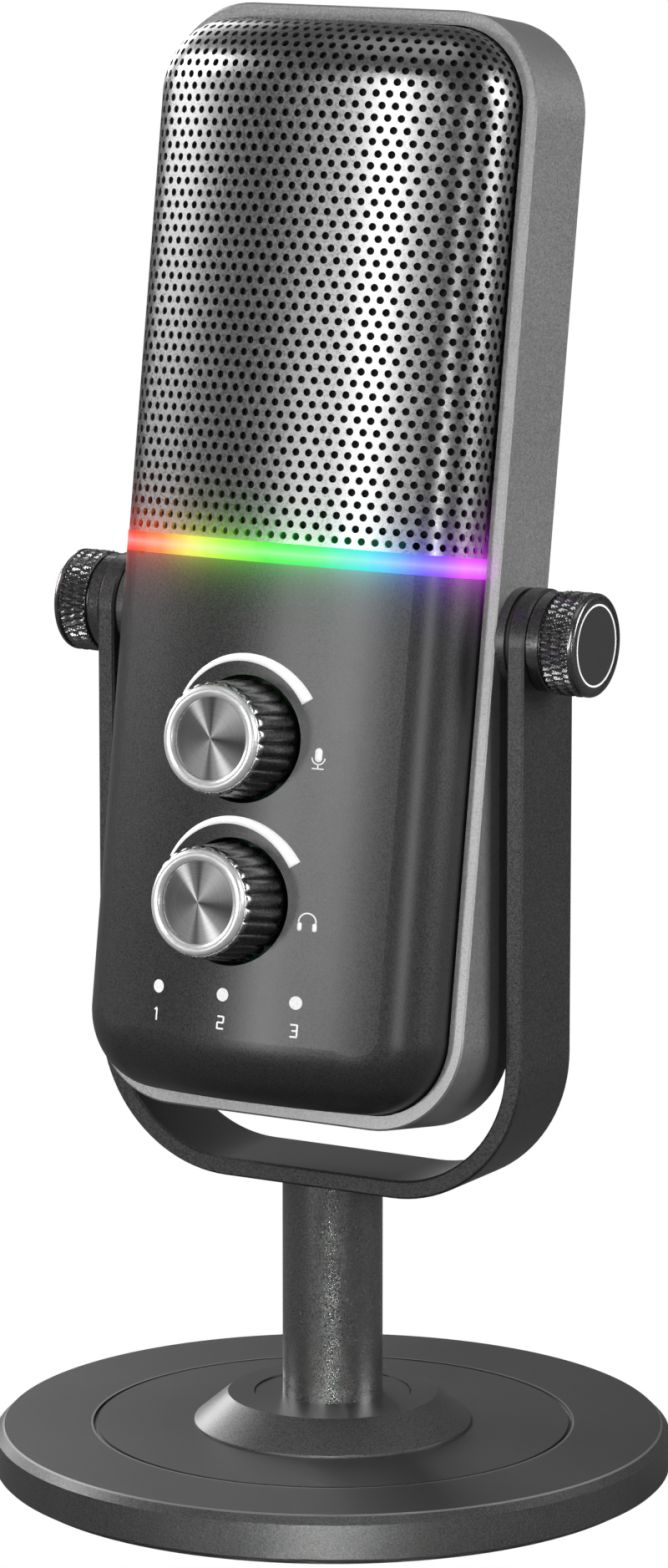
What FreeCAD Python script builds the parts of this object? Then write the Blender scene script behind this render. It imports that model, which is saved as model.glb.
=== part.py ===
import FreeCAD, Part
import math
import os

import Sketcher

# Desktop condenser microphone on a disc base: a post and a U-shaped yoke turn on the
# base, the microphone body tilts between the yoke arms, and two thumb screws clamp it.
# World frame: origin at the centre of the underside, +Z up, front of the body towards -Y.
# The pieces of the tilting body are drawn in the body's own frame (origin on the tilt
# axis, body upright) and leaned back by their Placement.

SIZES = {
    # stand
    "pad_radius": 53.0,
    "pad_height": 0.9,
    "base_radius": 55.0,
    "base_top": 8.2,
    "base_bevel": 1.4,
    "base_skin": 2.6,
    "base_groove_radius": 38.5,
    "base_groove_width": 0.6,
    "base_groove_depth": 0.5,
    "weight_radius": 50.0,
    "weight_bore": 16.0,
    "weight_screw_circle": 28.0,
    "collar_radius": 22.6,
    "collar_top_radius": 17.1,
    "collar_top": 13.2,
    "ring_radius": 12.65,
    "ring_height": 2.2,
    "ring_clearance": 0.15,
    "post_radius": 8.15,
    "post_clearance": 0.05,
    "pivot_radius": 3.0,
    "pivot_head_radius": 6.0,
    "pivot_head_height": 2.2,
    "pivot_washer_height": 0.8,
    # yoke
    "yoke_underside": 49.1,
    "yoke_thickness": 3.0,
    "yoke_half_width": 39.2,
    "yoke_depth": 16.6,
    "yoke_corner": 23.7,
    "yoke_edge": 0.35,
    "tenon_radius": 5.0,
    "tenon_height": 2.0,
    "hinge_height": 140.2,
    "tilt": 8.95,
    # frame band of the body
    "frame_half_width": 34.1,
    "frame_depth": 16.5,
    "frame_top": 97.4,
    "frame_bottom": 79.3,
    "frame_corner": 15.5,
    "frame_side": 2.45,
    "frame_end": 2.35,
    "frame_edge": 0.3,
    "ledge_width": 5.4,
    "ledge_half": 1.5,
    "boss_radius": 6.2,
    "insert_radius": 4.2,
    "screw_radius": 3.0,
    "screw_clearance": 0.05,
    "spacer_radius": 8.2,
    "washer_radius": 7.6,
    "washer_height": 0.55,
    # front and rear shells
    "shell_gap": 0.3,
    "dome_rise": 25.5,
    "dome_radius": 59.2,
    "dome_edge": 10.6,
    "cover_wall": 1.8,
    "grille_wall": 0.9,
    "strip_wall": 3.0,
    "strip_low": 8.9,
    "strip_high": 12.1,
    "strip_drop": 8.0,
    "foam_wall": 2.0,
    "foam_clearance": 0.3,
    # inner carriers
    "plate_thickness": 1.6,
    "plate_clearance": 0.35,
    "board_thickness": 1.6,
    "control_board_front": 13.6,
    "main_board_back": 12.6,
    # control knobs
    "gain_height": -18.9,
    "volume_height": -44.5,
    "knob_hole_radius": 10.1,
    "knob_radius": 9.5,
    "knob_front_radius": 8.85,
    "knob_back": 24.2,
    "knob_shoulder": 34.9,
    "knob_front": 36.05,
    "knob_rim_radius": 8.3,
    "knob_face_radius": 6.9,
    "knob_flute_radius": 0.66,
    "knob_shaft_radius": 3.0,
    # indicators, sockets and button
    "lamp_height": -59.2,
    "lamp_spacing": 12.55,
    "lamp_radius": 1.05,
    "socket_height": -60.0,
    "socket_offset": 10.0,
    "jack_radius": 1.75,
    "button_height": -38.0,
    "button_radius": 3.0,
    "button_travel": 0.5,
    # capsule
    "capsule_height": 56.0,
    "capsule_radius": 8.0,
    # thumb screws
    "thumb_radius": 8.25,
    "thumb_collar_radius": 7.95,
    "thumb_collar_length": 2.5,
    "thumb_end": 47.8,
    "thumb_chamfer": 0.35,
    "thumb_cap_radius": 7.1,
    "thumb_cap_height": 0.8,
}
FLUTES = 24


class Dim:
    """A size held twice: its value now, and its expression in terms of the sheet."""

    def __init__(self, value, text):
        self.value = value
        self.text = text

    @staticmethod
    def of(other):
        return other if isinstance(other, Dim) else Dim(float(other), repr(float(other)))

    def __add__(self, other):
        other = Dim.of(other)
        return Dim(self.value + other.value, f"({self.text} + {other.text})")

    def __radd__(self, other):
        return Dim.of(other) + self

    def __sub__(self, other):
        other = Dim.of(other)
        return Dim(self.value - other.value, f"({self.text} - {other.text})")

    def __rsub__(self, other):
        return Dim.of(other) - self

    def __mul__(self, factor):
        return Dim(self.value * factor, f"({self.text} * {factor!r})")

    __rmul__ = __mul__

    def __neg__(self):
        return self * -1


class Sizes:
    """The driving sizes as attributes, each one a Dim tied to its cell."""

    def __init__(self, values):
        for name, value in values.items():
            setattr(self, name, Dim(value, f"Sizes.{name}"))


doc = FreeCAD.newDocument("DesktopMicrophone")
sheet = doc.addObject("Spreadsheet::Sheet", "Sizes")
for row, (name, value) in enumerate(SIZES.items(), start=1):
    sheet.set(f"A{row}", name.replace("_", " "))
    sheet.set(f"B{row}", str(value))
    sheet.setAlias(f"B{row}", name)
doc.recompute()
S = Sizes(SIZES)
NODES = []

NORMAL_SIGN = {"XY_Plane": 1, "YZ_Plane": 1, "XZ_Plane": -1}


# ---------------------------------------------------------------- drawing helpers
def node(label, tilting=False):
    """An empty body that becomes one exported piece."""
    body = doc.addObject("PartDesign::Body", label)
    body.Label = label
    if tilting:
        body.Placement = FreeCAD.Placement(
            FreeCAD.Vector(0, 0, S.hinge_height.value),
            FreeCAD.Rotation(FreeCAD.Vector(1, 0, 0), -S.tilt.value),
        )
        body.setExpression("Placement.Base.z", "Sizes.hinge_height")
        body.setExpression("Placement.Rotation.Angle", "-Sizes.tilt")
    NODES.append(body)
    return body


def bind(feature, prop, size):
    size = Dim.of(size)
    feature.setExpression(prop, size.text)


def sketch(body, plane, offset=0.0, up=0.0):
    """A sketch parallel to one of the body's origin planes; offset runs along +X, +Y or +Z."""
    sk = body.newObject("Sketcher::SketchObject", "Sketch")
    origin_plane = [o for o in body.Origin.OriginFeatures if o.Role == plane][0]
    sk.AttachmentSupport = [(origin_plane, "")]
    sk.MapMode = "FlatFace"
    bind(sk, "AttachmentOffset.Base.z", Dim.of(offset) * NORMAL_SIGN[plane])
    bind(sk, "AttachmentOffset.Base.y", up)
    return sk


def fix(sk, kind, *where, size):
    """Add a driving dimension to a sketch and tie it to the sheet."""
    size = Dim.of(size)
    index = sk.addConstraint(Sketcher.Constraint(kind, *where, size.value))
    sk.setExpression(f"Constraints[{index}]", size.text)


def circle(sk, u, v, radius):
    u, v, radius = Dim.of(u), Dim.of(v), Dim.of(radius)
    centre = FreeCAD.Vector(u.value, v.value, 0)
    index = sk.addGeometry(Part.Circle(centre, FreeCAD.Vector(0, 0, 1), radius.value), False)
    fix(sk, "DistanceX", -1, 1, index, 3, size=u)
    fix(sk, "DistanceY", -1, 1, index, 3, size=v)
    fix(sk, "Radius", index, size=radius)


def polygon(sk, corners):
    """A closed outline with every corner placed by two dimensions."""
    corners = [(Dim.of(u), Dim.of(v)) for u, v in corners]
    points = [FreeCAD.Vector(u.value, v.value, 0) for u, v in corners]
    first = sk.GeometryCount
    count = len(points)
    for i in range(count):
        sk.addGeometry(Part.LineSegment(points[i], points[(i + 1) % count]), False)
    for i, (u, v) in enumerate(corners):
        line = first + i
        sk.addConstraint(Sketcher.Constraint("Coincident", line, 2, first + (i + 1) % count, 1))
        fix(sk, "DistanceX", -1, 1, line, 1, size=u)
        fix(sk, "DistanceY", -1, 1, line, 1, size=v)


def box_outline(sk, u0, u1, v0, v1):
    polygon(sk, [(u0, v0), (u1, v0), (u1, v1), (u0, v1)])


def rounded_outline(sk, u0, u1, v0, v1, radius):
    """A rectangle with round corners, tangent all the way round."""
    u0, u1, v0, v1, radius = (Dim.of(x) for x in (u0, u1, v0, v1, radius))
    centres = [
        (u1 - radius, v1 - radius),
        (u0 + radius, v1 - radius),
        (u0 + radius, v0 + radius),
        (u1 - radius, v0 + radius),
    ]
    first = sk.GeometryCount
    quarter = math.pi / 2

    def on_arc(i, angle):
        u, v = centres[i]
        return FreeCAD.Vector(
            u.value + radius.value * math.cos(angle), v.value + radius.value * math.sin(angle), 0
        )

    for i, (u, v) in enumerate(centres):
        centre = FreeCAD.Vector(u.value, v.value, 0)
        ring = Part.Circle(centre, FreeCAD.Vector(0, 0, 1), radius.value)
        sk.addGeometry(Part.ArcOfCircle(ring, i * quarter, (i + 1) * quarter), False)
    for i in range(4):
        angle = (i + 1) * quarter
        sk.addGeometry(Part.LineSegment(on_arc(i, angle), on_arc((i + 1) % 4, angle)), False)
    for i in range(4):
        arc, line, following = first + i, first + 4 + i, first + (i + 1) % 4
        sk.addConstraint(Sketcher.Constraint("Tangent", arc, 2, line, 1))
        sk.addConstraint(Sketcher.Constraint("Tangent", line, 2, following, 1))
    for i, (u, v) in enumerate(centres):
        fix(sk, "DistanceX", -1, 1, first + i, 3, size=u)
        fix(sk, "DistanceY", -1, 1, first + i, 3, size=v)
        fix(sk, "Radius", first + i, size=radius)


def extrude(body, plane, low, high, draw, cut=False, up=0.0):
    """Pad or pocket what draw() puts in a sketch, from low to high along the plane's axis."""
    low, high = Dim.of(low), Dim.of(high)
    start = low if NORMAL_SIGN[plane] > 0 else high
    sk = sketch(body, plane, start, up)
    draw(sk)
    kind = "PartDesign::Pocket" if cut else "PartDesign::Pad"
    feature = body.newObject(kind, "Pocket" if cut else "Pad")
    feature.Profile = sk
    feature.Reversed = cut
    bind(feature, "Length", high - low)
    sk.Visibility = False
    return feature


def revolve(body, plane, corners, axis="V_Axis", cut=False, up=0.0):
    sk = sketch(body, plane, 0.0, up)
    polygon(sk, corners)
    kind = "PartDesign::Groove" if cut else "PartDesign::Revolution"
    feature = body.newObject(kind, "Groove" if cut else "Revolution")
    feature.Profile = sk
    feature.ReferenceAxis = (sk, [axis])
    feature.Angle = 360
    sk.Visibility = False
    return feature


def dress(body, kind, size, chosen):
    """Fillet or chamfer the edges that chosen(shape) picks on the body's current tip."""
    doc.recompute()
    base = body.Tip
    shape = base.Shape
    wanted = chosen(shape)
    names = [
        f"Edge{i}"
        for i, edge in enumerate(shape.Edges, start=1)
        if any(edge.isSame(other) for other in wanted)
    ]
    if not names:
        raise RuntimeError(f"{body.Label}: no edge found for {kind}")
    feature = body.newObject(f"PartDesign::{kind}", kind)
    feature.Base = (base, names)
    bind(feature, "Radius" if kind == "Fillet" else "Size", size)
    return feature


def rim_edges(shape, axis, place):
    """Outer edges of the flat face that stands at the given place along an axis."""
    found = []
    for face in shape.Faces:
        box = face.BoundBox
        low, high = getattr(box, f"{axis}Min"), getattr(box, f"{axis}Max")
        if abs(low - place) < 1e-4 and abs(high - place) < 1e-4:
            found += face.OuterWire.Edges
    return found


def both_sides(low, high):
    """The same stretch of the X axis on the left and on the right."""
    return [(-high, -low), (low, high)]


def in_order(*places):
    """Two places along an axis, the lower one first."""
    return sorted((Dim.of(place) for place in places), key=lambda size: size.value)


def on_spots(spots, radius):
    """A drawing function for one circle at each spot."""

    def draw(sk):
        for u, v in spots:
            circle(sk, u, v, radius)

    return draw


# ---------------------------------------------------------------- stand
def build_stand():
    pad = node("foot_pad")
    revolve(
        pad,
        "XZ_Plane",
        [(0, 0), (S.pad_radius, 0), (S.pad_radius, S.pad_height), (0, S.pad_height)],
    )

    inner = S.base_top - S.base_skin
    disc = node("base_disc")
    revolve(
        disc,
        "XZ_Plane",
        [
            (S.weight_radius, S.pad_height),
            (S.base_radius - 0.4, S.pad_height),
            (S.base_radius, S.pad_height + 0.4),
            (S.base_radius, S.base_top - S.base_bevel),
            (S.base_radius - S.base_bevel, S.base_top),
            (S.pivot_radius + S.post_clearance, S.base_top),
            (S.pivot_radius + S.post_clearance, inner),
            (S.weight_radius, inner),
        ],
    )
    groove_out = S.base_groove_radius + S.base_groove_width
    revolve(
        disc,
        "XZ_Plane",
        [
            (S.base_groove_radius, S.base_top - S.base_groove_depth),
            (groove_out, S.base_top - S.base_groove_depth),
            (groove_out, S.base_top + 1.0),
            (S.base_groove_radius, S.base_top + 1.0),
        ],
        cut=True,
    )
    turns = [math.radians(90 + 120 * i) for i in range(3)]
    spots = [
        (S.weight_screw_circle * math.cos(a), S.weight_screw_circle * math.sin(a)) for a in turns
    ]
    extrude(disc, "XY_Plane", inner - 0.5, inner + 1.6, on_spots(spots, 1.25), cut=True)

    weight = node("base_weight")
    revolve(
        weight,
        "XZ_Plane",
        [
            (S.weight_bore, S.pad_height + 0.3),
            (S.weight_radius - 0.1, S.pad_height + 0.3),
            (S.weight_radius - 0.1, inner),
            (S.weight_bore, inner),
        ],
    )
    head_seat = S.pad_height + 0.3 + 1.6
    extrude(weight, "XY_Plane", S.pad_height - 1.0, head_seat, on_spots(spots, 2.7), cut=True)
    extrude(weight, "XY_Plane", S.pad_height, inner + 1.0, on_spots(spots, 1.3), cut=True)

    screws = node("weight_screws")
    extrude(screws, "XY_Plane", head_seat, inner + 1.5, on_spots(spots, 1.25))
    extrude(screws, "XY_Plane", head_seat - 1.4, head_seat, on_spots(spots, 2.5))
    extrude(screws, "XY_Plane", head_seat - 1.6, head_seat - 0.6, on_spots(spots, 1.0), cut=True)

    ring_floor = S.collar_top - S.ring_height
    collar = node("collar")
    revolve(
        collar,
        "XZ_Plane",
        [
            (S.post_radius + S.post_clearance, S.base_top),
            (S.collar_radius, S.base_top),
            (S.collar_radius, S.base_top + 0.4),
            (S.collar_top_radius, S.collar_top),
            (S.ring_radius + S.ring_clearance, S.collar_top),
            (S.ring_radius + S.ring_clearance, ring_floor),
            (S.post_radius + S.post_clearance, ring_floor),
        ],
    )

    washer_low = inner - S.pivot_washer_height
    head_low = washer_low - S.pivot_head_height
    washer = node("pivot_washer")
    washer_bore = S.pivot_radius + S.post_clearance
    extrude(washer, "XY_Plane", washer_low, inner, on_spots([(0, 0)], S.pivot_head_radius + 1.0))
    through = (washer_low - 1.0, inner + 1.0)
    extrude(washer, "XY_Plane", *through, on_spots([(0, 0)], washer_bore), cut=True)

    bolt = node("pivot_bolt")
    extrude(bolt, "XY_Plane", washer_low, S.base_top + 14.0, on_spots([(0, 0)], S.pivot_radius))
    extrude(bolt, "XY_Plane", head_low, washer_low, on_spots([(0, 0)], S.pivot_head_radius))
    turns = [math.radians(60 * i) for i in range(6)]
    hexagon = [(2.3 * math.cos(a), 2.3 * math.sin(a)) for a in turns]
    extrude(bolt, "XY_Plane", head_low - 1.0, head_low + 1.4, lambda sk: polygon(sk, hexagon), cut=True)

    post = node("post")
    bore_top = S.base_top + 14.0
    revolve(
        post,
        "XZ_Plane",
        [
            (S.pivot_radius, S.base_top),
            (S.post_radius, S.base_top),
            (S.post_radius, S.yoke_underside),
            (S.tenon_radius, S.yoke_underside),
            (S.tenon_radius, S.yoke_underside + S.tenon_height),
            (0, S.yoke_underside + S.tenon_height),
            (0, bore_top),
            (S.pivot_radius, bore_top),
        ],
    )

    ring = node("swivel_ring")
    ring_low = ring_floor + 0.05
    extrude(ring, "XY_Plane", ring_low, S.collar_top - 0.2, on_spots([(0, 0)], S.ring_radius))
    through = (ring_low - 1.0, S.collar_top + 1.0)
    extrude(ring, "XY_Plane", *through, on_spots([(0, 0)], S.post_radius), cut=True)


def build_yoke():
    yoke = node("yoke")
    top = S.hinge_height + S.yoke_depth * 0.5
    half = S.yoke_depth * 0.5
    inside = S.yoke_half_width - S.yoke_thickness
    floor = S.yoke_underside + S.yoke_thickness

    # the round corners above the arm tips are cut away with the straight part above them
    def outer(sk):
        rounded_outline(
            sk, -S.yoke_half_width, S.yoke_half_width, S.yoke_underside, top + 60.0, S.yoke_corner
        )

    def inner(sk):
        rounded_outline(
            sk, -inside, inside, floor, top + 80.0, S.yoke_corner - S.yoke_thickness
        )

    extrude(yoke, "XZ_Plane", -half, half, outer)
    extrude(yoke, "XZ_Plane", -half - 1.0, half + 1.0, inner, cut=True)
    extrude(
        yoke,
        "XZ_Plane",
        -half - 2.0,
        half + 2.0,
        lambda sk: box_outline(sk, -S.yoke_half_width - 5.0, S.yoke_half_width + 5.0, top, top + 90.0),
        cut=True,
    )

    def tips(shape):
        return [
            e
            for e in shape.Edges
            if e.BoundBox.ZMin > top.value - 1e-4 and e.BoundBox.YLength < 1e-4
        ]

    dress(yoke, "Fillet", half - 0.01, tips)
    hole = S.screw_radius + S.screw_clearance
    extrude(
        yoke,
        "YZ_Plane",
        -S.yoke_half_width - 1.0,
        S.yoke_half_width + 1.0,
        on_spots([(0, S.hinge_height)], hole),
        cut=True,
    )
    extrude(
        yoke,
        "XY_Plane",
        S.yoke_underside - 1.0,
        S.yoke_underside + S.tenon_height,
        on_spots([(0, 0)], S.tenon_radius),
        cut=True,
    )

    def long_edges(shape):
        return [
            e
            for side in (-1, 1)
            for e in rim_edges(shape, "Y", side * half.value)
        ]

    dress(yoke, "Chamfer", S.yoke_edge, long_edges)


# ---------------------------------------------------------------- body shells
def frame_inside():
    """Half-width, low end, high end and corner radius of the opening in the frame band."""
    return (
        S.frame_half_width - S.frame_side,
        -(S.frame_bottom - S.frame_end),
        S.frame_top - S.frame_end,
        S.frame_corner - S.frame_side,
    )


def build_frame():
    frame = node("frame_band", tilting=True)
    half = S.frame_depth * 0.5
    wide, low, high, corner = frame_inside()
    ledge = S.ledge_width

    extrude(
        frame,
        "XZ_Plane",
        -half,
        half,
        lambda sk: rounded_outline(
            sk,
            -S.frame_half_width,
            S.frame_half_width,
            -S.frame_bottom,
            S.frame_top,
            S.frame_corner,
        ),
    )
    for side in (-1, 1):
        extrude(
            frame,
            "XZ_Plane",
            *in_order(S.ledge_half * side, (half + 1.0) * side),
            lambda sk: rounded_outline(sk, -wide, wide, low, high, corner),
            cut=True,
        )
    extrude(
        frame,
        "XZ_Plane",
        -half - 1.0,
        half + 1.0,
        lambda sk: rounded_outline(
            sk, ledge - wide, wide - ledge, low + ledge, high - ledge, corner - ledge
        ),
        cut=True,
    )
    for left, right in both_sides(wide - ledge, wide + 0.5):
        extrude(frame, "YZ_Plane", left, right, on_spots([(0, 0)], S.boss_radius))
    reach = S.frame_half_width + 1.0
    extrude(frame, "YZ_Plane", -reach, reach, on_spots([(0, 0)], S.insert_radius), cut=True)
    extrude(
        frame,
        "XZ_Plane",
        -S.ledge_half - 0.5,
        S.ledge_half + 0.5,
        on_spots(chassis_screw_spots(), 0.9),
        cut=True,
    )

    def faces_round(shape):
        return [e for side in (-1, 1) for e in rim_edges(shape, "Y", side * half.value)]

    dress(frame, "Chamfer", S.frame_edge, faces_round)


def chassis_screw_spots(upper_only=False):
    wide, low, high, _ = frame_inside()
    across = wide - 4.0
    heights = [high - 48.0, high - 16.0]
    if not upper_only:
        heights += [low + 26.0, low + 56.0]
    return [(across * side, z) for side in (-1, 1) for z in heights]


def shell(label, side, inset, wall, foot, low=None, high=None):
    """One convex shell of the body: side -1 is the front, +1 the rear.

    The shell starts foot away from the middle plane, follows the dome at the given
    inset from its outer skin, and is kept between the heights low and high.
    """
    body = node(label, tilting=True)
    wide, bottom, top, corner = frame_inside()
    margin = S.shell_gap + inset
    rise = S.dome_rise - inset
    radius = S.dome_radius - inset

    def span(near, far):
        return in_order(Dim.of(near) * side, Dim.of(far) * side)

    extrude(
        body,
        "XZ_Plane",
        *span(foot, rise + 2.0),
        lambda sk: rounded_outline(
            sk, margin - wide, wide - margin, bottom + margin, top - margin, corner - margin
        ),
    )

    def outside_dome(sk):
        centre = (rise - radius) * side
        circle(sk, 0, centre, radius)
        circle(sk, 0, centre, radius + 60.0)

    extrude(body, "XY_Plane", bottom - 10.0, top + 10.0, outside_dome, cut=True)

    def dome_rim(shape):
        for face in shape.Faces:
            surface = face.Surface
            if isinstance(surface, Part.Cylinder) and abs(surface.Radius - radius.value) < 1e-3:
                return face.OuterWire.Edges
        return []

    dress(body, "Fillet", S.dome_edge - inset, dome_rim)
    doc.recompute()
    solid = body.Tip
    open_side = [
        f"Face{i}"
        for i, face in enumerate(solid.Shape.Faces, start=1)
        if abs(face.BoundBox.YMin - foot.value * side) < 1e-4 and face.BoundBox.YLength < 1e-4
    ]
    hollow = body.newObject("PartDesign::Thickness", "Thickness")
    hollow.Base = (solid, open_side)
    bind(hollow, "Value", wall)
    hollow.Reversed = True
    hollow.Join = 0

    def band(z0, z1):
        extrude(
            body,
            "XZ_Plane",
            *span(-2.0, rise + 3.0),
            lambda sk: box_outline(sk, -wide - 5.0, wide + 5.0, z0, z1),
            cut=True,
        )

    if low is not None:
        band(bottom - 5.0, low)
    if high is not None:
        band(high, top + 5.0)
    return body


def boss_notch(body):
    wide = frame_inside()[0]
    radius = S.boss_radius + S.shell_gap
    for left, right in both_sides(wide - S.ledge_width - 0.5, wide + 2.0):
        extrude(body, "YZ_Plane", left, right, on_spots([(0, 0)], radius), cut=True)


def lamp_spots():
    return [(S.lamp_spacing * i, S.lamp_height) for i in (-1, 0, 1)]


def socket_outline(sk, half_width, half_height):
    rounded_outline(
        sk,
        -S.socket_offset - half_width,
        -S.socket_offset + half_width,
        S.socket_height - half_height,
        S.socket_height + half_height,
        half_height - 0.01,
    )


def strip_rib():
    """Half-width of the flat rib behind the light strip, and where its back face lies."""
    return (
        frame_inside()[0] - S.shell_gap - S.strip_wall - 3.0,
        S.strip_drop - S.dome_rise,
    )


def build_shells():
    zero = Dim.of(0.0)
    cover = shell("front_cover", -1, zero, S.cover_wall, S.ledge_half, high=S.strip_low)
    boss_notch(cover)
    reach = S.dome_rise + 1.0
    knobs = [(0, S.gain_height), (0, S.volume_height)]
    through = (-reach, -S.dome_rise + 6.0)
    extrude(cover, "XZ_Plane", *through, on_spots(knobs, S.knob_hole_radius), cut=True)
    extrude(cover, "XZ_Plane", *through, on_spots(lamp_spots(), S.lamp_radius), cut=True)

    shell("front_grille", -1, zero, S.grille_wall, S.ledge_half, low=S.strip_high)
    strip = shell(
        "light_strip", -1, zero, S.strip_wall, S.ledge_half, low=S.strip_low, high=S.strip_high
    )
    # a flat rib behind the curved strip, for its circuit board to sit on
    rib, back = strip_rib()
    extrude(
        strip,
        "XY_Plane",
        S.strip_low,
        S.strip_high,
        lambda sk: polygon(
            sk, [(-rib, back), (rib, back), (rib, back - 3.2), (-rib, back - 3.2)]
        ),
    )

    rear = shell("rear_cover", 1, zero, S.cover_wall, S.ledge_half, high=S.strip_low)
    boss_notch(rear)
    outward = (S.dome_rise - 6.0, reach)
    extrude(rear, "XZ_Plane", *outward, lambda sk: socket_outline(sk, 4.75, 1.9), cut=True)
    jack = [(S.socket_offset, S.socket_height)]
    extrude(rear, "XZ_Plane", *outward, on_spots(jack, 3.3), cut=True)
    button = [(0, S.button_height)]
    extrude(rear, "XZ_Plane", *outward, on_spots(button, S.button_radius + 0.1), cut=True)
    shell("rear_grille", 1, zero, S.grille_wall, S.ledge_half, low=S.strip_low)

    inset = S.grille_wall + S.foam_clearance
    front_foot = S.ledge_half + S.plate_thickness + S.foam_clearance
    foam = shell("front_foam", -1, inset, S.foam_wall, front_foot, low=S.strip_high + 3.0)
    heads = chassis_screw_spots(upper_only=True)
    extrude(foam, "XZ_Plane", -front_foot - 1.5, -front_foot + 1.0, on_spots(heads, 1.9), cut=True)
    shell("rear_foam", 1, inset, S.foam_wall, S.ledge_half + S.foam_clearance, low=S.strip_high)


# ---------------------------------------------------------------- inside the body
def build_carriers():
    wide, low, high, corner = frame_inside()
    margin = S.shell_gap + S.cover_wall + S.plate_clearance
    front = -S.ledge_half - S.plate_thickness
    plate = node("chassis_plate", tilting=True)
    extrude(
        plate,
        "XZ_Plane",
        front,
        -S.ledge_half,
        lambda sk: rounded_outline(
            sk, margin - wide, wide - margin, low + margin, high - margin, corner - margin
        ),
    )
    gap = S.boss_radius + 0.6
    strip_inside = wide - S.shell_gap - S.strip_wall - S.plate_clearance

    def boss_notches(sk):
        for left, right in both_sides(wide - S.ledge_width - 0.3, wide + 2.0):
            box_outline(sk, left, right, -gap, gap)

    def strip_notches(sk):
        for left, right in both_sides(strip_inside, wide + 2.0):
            box_outline(sk, left, right, S.strip_low - 1.0, S.strip_high + 0.6)

    extrude(plate, "XZ_Plane", front - 1.0, 0.0, boss_notches, cut=True)
    extrude(plate, "XZ_Plane", front - 1.0, 0.0, strip_notches, cut=True)
    extrude(plate, "XZ_Plane", front - 1.0, 0.0, on_spots(chassis_screw_spots(), 1.0), cut=True)
    extrude(
        plate,
        "XZ_Plane",
        front - 1.0,
        0.0,
        lambda sk: rounded_outline(sk, -8.0, 8.0, -2.0, 6.0, 2.0),
        cut=True,
    )

    screws = node("chassis_screws", tilting=True)
    spots = chassis_screw_spots()
    extrude(screws, "XZ_Plane", front, S.ledge_half - 0.3, on_spots(spots, 0.9))
    extrude(screws, "XZ_Plane", front - 1.1, front, on_spots(spots, 1.5))
    extrude(screws, "XZ_Plane", front - 1.3, front - 0.5, on_spots(spots, 0.6), cut=True)

    # both boards keep clear of the frame and its corners, and their pillars of their edges
    front_half, back_half = wide - 10.65, wide - 8.65
    front_low, back_low = low + 9.95, low + 7.95
    front_posts = [
        ((front_half - 4.0) * side, z) for side in (-1, 1) for z in (front_low + 4.5, -12.0)
    ]
    back_posts = [
        ((back_half - 4.0) * side, z) for side in (-1, 1) for z in (back_low + 21.0, -22.0)
    ]
    board_set(
        "control", -1, front, S.control_board_front, front_half, front_low, -8.0, front_posts
    )
    board_set(
        "main", 1, -S.ledge_half, S.main_board_back, back_half, back_low, -18.0, back_posts
    )


def board_set(name, side, foot, face, half_width, low, high, spots):
    """A circuit board on four pillars, with its screws; side -1 faces the front."""
    foot = Dim.of(foot)
    outer = face * side
    inner = (face - S.board_thickness) * side

    board = node(f"{name}_board", tilting=True)
    extrude(
        board,
        "XZ_Plane",
        *in_order(inner, outer),
        lambda sk: rounded_outline(sk, -half_width, half_width, low, high, 2.0),
    )
    extrude(board, "XZ_Plane", *in_order(inner - side, outer + side), on_spots(spots, 1.1), cut=True)

    pillars = node(f"{name}_pillars", tilting=True)
    extrude(pillars, "XZ_Plane", *in_order(foot, inner), on_spots(spots, 2.3))
    holes = in_order(inner - 6.0 * side, inner + side)
    extrude(pillars, "XZ_Plane", *holes, on_spots(spots, 1.0), cut=True)

    screws = node(f"{name}_screws", tilting=True)
    extrude(screws, "XZ_Plane", *in_order(inner - 5.5 * side, outer), on_spots(spots, 1.0))
    extrude(screws, "XZ_Plane", *in_order(outer, outer + 1.3 * side), on_spots(spots, 1.9))
    recess = in_order(outer + 0.6 * side, outer + 1.5 * side)
    extrude(screws, "XZ_Plane", *recess, on_spots(spots, 0.7), cut=True)


def build_controls():
    for name, height in (("gain", S.gain_height), ("volume", S.volume_height)):
        build_pot(name, height)
        build_knob(name, height)

    lamps = node("light_pipes", tilting=True)
    pipe_span = (-S.dome_rise - 1.0, -S.control_board_front)
    extrude(lamps, "XZ_Plane", *pipe_span, on_spots(lamp_spots(), S.lamp_radius))

    def outside_dome(sk):
        centre = S.dome_radius - S.dome_rise
        circle(sk, 0, centre, S.dome_radius)
        circle(sk, 0, centre, S.dome_radius + 20.0)

    around = S.lamp_height
    extrude(lamps, "XY_Plane", around - 5.0, around + 5.0, outside_dome, cut=True)

    strip_board = node("strip_board", tilting=True)
    middle = (S.strip_low + S.strip_high) * 0.5
    rib, back = strip_rib()
    reach = rib - 3.35
    extrude(
        strip_board,
        "XZ_Plane",
        back,
        back + 1.2,
        lambda sk: box_outline(sk, -reach, reach, middle - 3.4, middle + 3.4),
    )


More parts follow.
